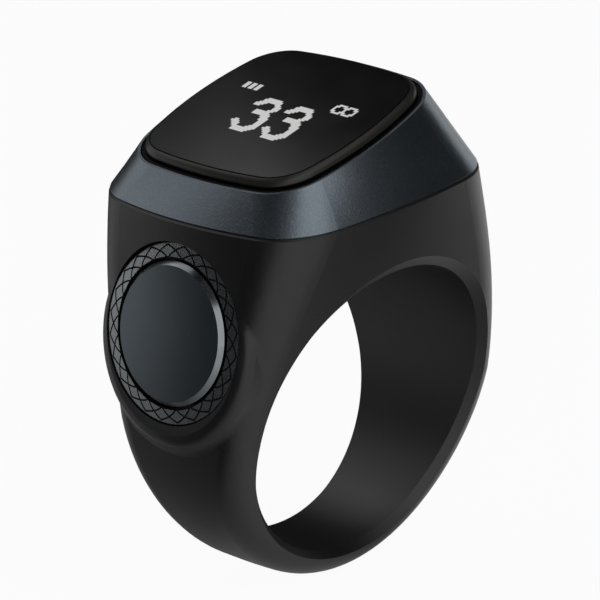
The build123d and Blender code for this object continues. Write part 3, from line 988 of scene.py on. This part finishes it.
    def build_dome(self) -> bpy.types.Object:
        """Builds the switch's snap dome.

        Returns:
            The dome.
        """
        plate = Plate.on_node("switch_dome", self.out)
        inner, outer = self.dome_radii
        shares = [step / self.curve_steps for step in range(self.curve_steps + 1)]
        top = [(inner + share * (outer - inner), -self.dome_rise * share**2) for share in shares]
        profile = top + [(radius, height - self.dome_wall) for radius, height in reversed(top)]
        mesh = bmesh.new()
        join_rows(mesh, turn_profile(plate, lambda turn: profile, self.dome_facets), {}, closed=True)
        dome = finish_mesh("snap_dome", mesh, [NICKEL], "ring")
        foot = plate.at(0, 0, -self.dome_rise - self.dome_wall)
        tuple(self.out)
        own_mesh(dome)
        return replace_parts(dome, "switch_dome")

    def dress(self) -> None:
        """Paints the button's nodes."""
        dress({
            "stem_seal": SILICONE,
            "stem_clip": ZINC,
            "switch_housing": HOLDER_NYLON,
            "switch_plunger": CONNECTOR_POLYMER,
            "switch_board": LAMINATE,
            "switch_ribbon": POLYIMIDE,
        })


@dataclass
class Electronics:
    """Board with its parts, cell with its leads, vibration motor and charging contacts."""

    def dress(self) -> None:
        """Paints the inner nodes."""
        dress({
            "main_board": LAMINATE,
            "ribbon_connector": CONNECTOR_POLYMER,
            "controller_chip": CHIP_EPOXY,
            "charger_chip": CHIP_EPOXY,
            "crystal": NICKEL,
            "antenna": ALUMINA,
            "board_passives": TITANATE,
            "board_screws": ZINC,
            "battery_cell": POUCH_FOIL,
            "battery_leads": LEAD_VINYL,
            "motor_base": NICKEL,
            "motor_shaft": ZINC,
            "motor_rotor": TUNGSTEN,
            "motor_cup": NICKEL,
            "charging_contacts": GOLD,
        })


@dataclass(frozen=True)
class Softbox:
    """A square lamp that points at the object.

    Attributes:
        name: Name of the lamp.
        azimuth: Turn from the -Y direction toward +X, in degrees.
        elevation: Height above the level, in degrees.
        size: Width and height, in metres.
        radiance: Brightness of its face, where 1 is white.
        distance: Distance from the object, in metres.
    """

    name: str
    azimuth: float
    elevation: float
    size: tuple[float, float]
    radiance: float
    distance: float = 0.5

    def place(self, target: Vector) -> None:
        """Hangs the lamp and points it at a target.

        Args:
            target: Place that it points at, in metres.
        """
        turn, rise = radians(self.azimuth), radians(self.elevation)
        away = Vector((sin(turn) * cos(rise), -cos(turn) * cos(rise), sin(rise)))
        lamp = bpy.data.lights.new(self.name, "AREA")
        lamp.shape = "RECTANGLE"
        lamp.size, lamp.size_y = self.size
        lamp.energy = self.radiance * pi * self.size[0] * self.size[1]
        holder = bpy.data.objects.new(self.name, lamp)
        holder.location = target + away * self.distance
        holder.rotation_euler = away.to_track_quat("Z", "Y").to_euler()
        bpy.context.scene.collection.objects.link(holder)


@dataclass(frozen=True)
class PaleWedge:
    """A wedge of the floor that reflections see as white, like a card laid there.

    Attributes:
        first: Turn of its first side from the -Y direction toward +X, in degrees.
        last: Turn of its last side.
        share: Share of white inside.
        edge: Distances inside a side between which the white grows, in metres.
    """

    first: float
    last: float
    share: float
    edge: tuple[float, float] = (-0.012, 0.015)

    def grow(self, tree: Tree, place: Socket) -> Socket:
        """Works out the share of white at a place.

        Args:
            tree: The paper's nodes.
            place: Position on the floor, in metres.

        Returns:
            The share.
        """
        sides = []
        for turn in (radians(self.first + 90), radians(self.last - 90)):
            inside = add_node(
                tree,
                "ShaderNodeVectorMath",
                {"operation": "DOT_PRODUCT", 1: (sin(turn), -cos(turn), 0)},
                {0: place},
            )
            side = add_node(
                tree,
                "ShaderNodeMapRange",
                {"From Min": self.edge[0], "From Max": self.edge[1], "To Max": self.share},
                {"Value": inside.outputs["Value"]},
            )
            sides.append(side.outputs[0])
        both = add_node(tree, "ShaderNodeMath", {"operation": "MINIMUM"}, dict(enumerate(sides)))
        return both.outputs[0]


@dataclass
class Studio:
    """Pale floor, soft lamps and the camera at the photograph's angle.

    Attributes:
        camera_place: Where the camera stands, in metres.
        yaw: Turn of the view from +X toward +Y, in degrees.
        pitch: Fall of the view below the level, in degrees.
        roll: Turn of the picture, in degrees.
        lens: Focal length in millimetres.
        sensor: Width of the picture behind the lens, in millimetres.
        near: Nearest place that the camera sees, in metres.
        floor_radius: Radius of the floor, in metres.
        floor_facets: Facets around the floor.
        floor_roughness: Roughness of the floor's paper.
        floor_colour: Colour of the floor's paper as the camera sees it.
        floor_shade: Colour of that paper in reflections.
        floor_white: Share of plain white in the floor as the camera sees it.
        floor_wedges: Wedges of the floor that reflections see as white.
        sky: Brightness of the room around.
        lamp_target: Place that the lamps point at, in metres.
        lamps: Softboxes.
    """

    camera_place: tuple[float, float, float] = (-0.207507, -0.199869, 0.098328)
    yaw: float = 44.0516
    pitch: float = 17.745
    roll: float = -0.2915
    lens: float = 280.4
    sensor: float = 36.0
    near: float = 0.01
    floor_radius: float = 1.2
    floor_facets: int = 96
    floor_roughness: float = 0.9
    floor_colour: str = "#f2f2f2"
    floor_shade: str = "#585858"
    floor_white: float = 0.95
    floor_wedges: tuple[PaleWedge, ...] = (
        PaleWedge(first=-70, last=18, share=0.95),
        PaleWedge(first=61, last=125, share=1.0, edge=(-0.004, 0.006)),
        PaleWedge(first=-185, last=-130, share=0.55),
    )
    sky: float = 0.02
    lamp_target: tuple[float, float, float] = (0, 0, 0.006)
    lamps: tuple[Softbox, ...] = (
        Softbox("front_box", azimuth=-28, elevation=22, size=(0.62, 0.44), radiance=1.2),
        Softbox("high_box", azimuth=-8, elevation=49, size=(0.5, 0.2), radiance=0.9),
        Softbox("top_box", azimuth=0, elevation=74, size=(0.4, 0.24), radiance=0.9),
        Softbox("back_left_box", azimuth=-164, elevation=38, size=(0.34, 0.5), radiance=0.8),
        Softbox("low_back_box", azimuth=-160, elevation=4, size=(0.4, 0.12), radiance=0.75),
        Softbox("right_strip", azimuth=92, elevation=8, size=(0.2, 0.14), radiance=1.1),
        Softbox("back_box", azimuth=167.1, elevation=50.8, size=(0.19, 0.147), radiance=0.9, distance=0.4),
    )

    def set_camera(self) -> None:
        """Stands the camera at the photograph's angle."""
        turn, fall, tilt = radians(self.yaw), radians(self.pitch), radians(self.roll)
        ahead = Vector((cos(turn) * cos(fall), sin(turn) * cos(fall), -sin(fall)))
        right = Vector((sin(turn), -cos(turn), 0))
        up = right.cross(ahead)
        side = right * cos(tilt) + up * sin(tilt)
        top = up * cos(tilt) - right * sin(tilt)
        data = bpy.data.cameras.new("photo_camera")
        data.lens, data.sensor_width, data.clip_start = self.lens, self.sensor, self.near
        camera = bpy.data.objects.new("photo_camera", data)
        directions = Matrix((side, top, -ahead)).transposed().to_4x4()
        camera.matrix_world = Matrix.Translation(self.camera_place) @ directions
        bpy.context.scene.collection.objects.link(camera)
        bpy.context.scene.camera = camera

    def lay_floor(self) -> None:
        """Lays the pale floor under the ring."""
        mesh = bmesh.new()
        bmesh.ops.create_circle(mesh, cap_ends=True, radius=self.floor_radius, segments=self.floor_facets)
        data = bpy.data.meshes.new("studio_floor")
        mesh.to_mesh(data)
        mesh.free()
        data.materials.append(self.make_paper())
        plane = bpy.data.objects.new("studio_floor", data)
        plane.location.z = CAD_BOX[0][2]
        bpy.context.scene.collection.objects.link(plane)

    def make_paper(self) -> bpy.types.Material:
        """Makes the floor's paper, which takes the shadows and is white to the camera.

        Returns:
            The material.
        """
        material = bpy.data.materials.new("matte_paper_sweep")
        material.use_nodes = True
        tree = material.node_tree
        paper = tree.nodes["Principled BSDF"]
        paper.inputs["Roughness"].default_value = self.floor_roughness
        path = add_node(tree, "ShaderNodeLightPath").outputs
        colour = add_node(
            tree,
            "ShaderNodeMix",
            {"data_type": "RGBA", MIX_FIRST: linear(self.floor_shade), MIX_LAST: linear(self.floor_colour)},
            {0: path["Is Camera Ray"]},
        )
        tree.links.new(colour.outputs[MIX_RESULT], paper.inputs["Base Color"])
        white = add_node(tree, "ShaderNodeEmission", {"Color": WHITE, "Strength": 1.0})
        mixed = add_node(
            tree,
            "ShaderNodeMixShader",
            links={0: self.white_share(tree, path), 1: paper.outputs[0], 2: white.outputs[0]},
        )
        tree.links.new(mixed.outputs[0], tree.nodes["Material Output"].inputs["Surface"])
        return material

    def white_share(self, tree: Tree, path: bpy.types.NodeOutputs) -> Socket:
        """Works out how much of the paper shows as plain white.

        Args:
            tree: The paper's nodes.
            path: What is known of the ray that meets the paper.

        Returns:
            The share for camera rays, for reflected and transmitted rays, and 0 for others.
        """
        place = add_node(tree, "ShaderNodeTexCoord").outputs["Object"]
        bright, *others = [wedge.grow(tree, place) for wedge in self.floor_wedges]
        for other in others:
            wider = add_node(tree, "ShaderNodeMath", {"operation": "MAXIMUM"}, {0: bright, 1: other})
            bright = wider.outputs[0]
        rays = {0: path["Is Glossy Ray"], 1: path["Is Transmission Ray"]}
        passed = add_node(tree, "ShaderNodeMath", {"operation": "MAXIMUM"}, rays)
        lit = {0: passed.outputs[0], 1: bright}
        mirrored = add_node(tree, "ShaderNodeMath", {"operation": "MULTIPLY"}, lit)
        share = add_node(
            tree,
            "ShaderNodeMath",
            {"operation": "MULTIPLY_ADD", 1: self.floor_white},
            {0: path["Is Camera Ray"], 2: mirrored.outputs[0]},
        )
        return share.outputs[0]

    def light(self) -> None:
        """Hangs the softboxes and sets the room's brightness."""
        for lamp in self.lamps:
            lamp.place(Vector(self.lamp_target))
        world = bpy.data.worlds.new("grey_room")
        world.use_nodes = True
        room = world.node_tree.nodes["Background"]
        room.inputs["Color"].default_value = WHITE
        room.inputs["Strength"].default_value = self.sky
        bpy.context.scene.world = world
        bpy.context.scene.view_settings.view_transform = "Standard"


def main() -> None:
    """Builds the looks of the counter in order."""
    logging.basicConfig(level=logging.INFO, format="%(name)s %(message)s")
    Shell().dress()
    display = Display()
    display.dress()
    display.build_lens()
    display.build_dots()
    button = PushButton()
    button.dress()
    button.build_trim()
    button.build_cap()
    button.build_dome()
    Electronics().dress()
    studio = Studio()
    studio.lay_floor()
    studio.light()
    studio.set_camera()


if __name__ == "__main__":
    main()
